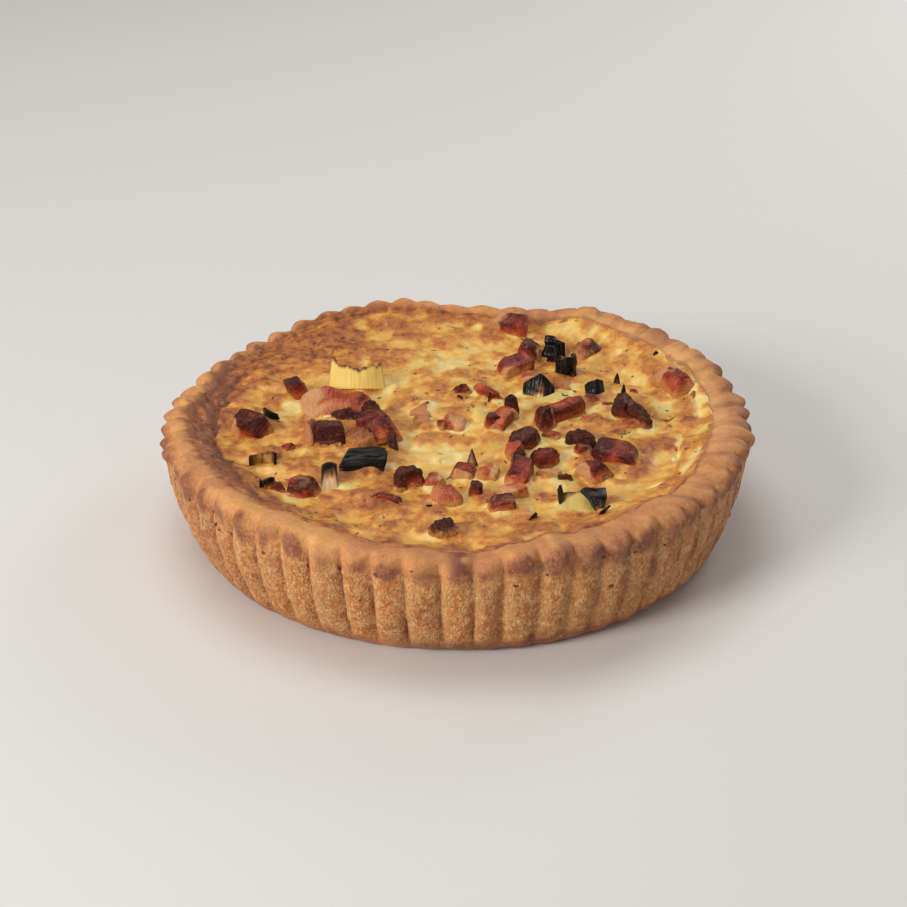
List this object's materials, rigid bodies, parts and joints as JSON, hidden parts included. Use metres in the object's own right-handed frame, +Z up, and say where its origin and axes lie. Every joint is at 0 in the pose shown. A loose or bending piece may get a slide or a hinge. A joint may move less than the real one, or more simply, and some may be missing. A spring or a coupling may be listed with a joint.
{
  "type": "quiche",
  "caption": "Deep round quiche in a fluted pastry case, with browned egg custard and pieces of bacon and leek standing out of the top.",
  "frame": {"origin": "middle of the flat underside", "axes": "+Z up through the middle of the quiche, -Y towards the front, where the rim dips"},
  "size_m": [0.2096, 0.21, 0.0435],
  "materials": {
    "pastry": "baked shortcrust, dry and grainy, golden tan with a browner rim and foot",
    "custard": "set egg custard, golden yellow, browned on its raised places, slightly moist",
    "bacon": "fried bacon, dark red to brown with pink, fat and charred places, glossy",
    "leek": "baked leek, charred nearly black at the edges and pale where it was sheltered"
  },
  "bodies": {
    "root": {"pastry_case": "pastry", "custard": "custard", "bacon_01": "bacon", "bacon_02": "bacon", "bacon_03": "bacon", "bacon_04": "bacon", "bacon_05": "bacon", "bacon_06": "bacon", "bacon_07": "bacon", "bacon_08": "bacon", "bacon_09": "bacon", "bacon_10": "bacon", "bacon_11": "bacon", "bacon_12": "bacon", "bacon_13": "bacon", "bacon_14": "bacon", "bacon_15": "bacon", "bacon_16": "bacon", "bacon_17": "bacon", "bacon_18": "bacon", "bacon_19": "bacon", "bacon_20": "bacon", "bacon_21": "bacon", "bacon_22": "bacon", "bacon_23": "bacon", "bacon_24": "bacon", "bacon_25": "bacon", "bacon_26": "bacon", "bacon_27": "bacon", "bacon_28": "bacon", "bacon_29": "bacon", "bacon_30": "bacon", "bacon_31": "bacon", "bacon_32": "bacon", "bacon_33": "bacon", "bacon_34": "bacon", "bacon_35": "bacon", "bacon_36": "bacon", "bacon_37": "bacon", "bacon_38": "bacon", "bacon_39": "bacon", "leek_01": "leek", "leek_02": "leek", "leek_03": "leek", "leek_04": "leek", "leek_05": "leek", "leek_06": "leek", "leek_07": "leek", "leek_08": "leek", "leek_09": "leek", "leek_10": "leek", "leek_11": "leek", "leek_12": "leek"}
  },
  "joints": []
}
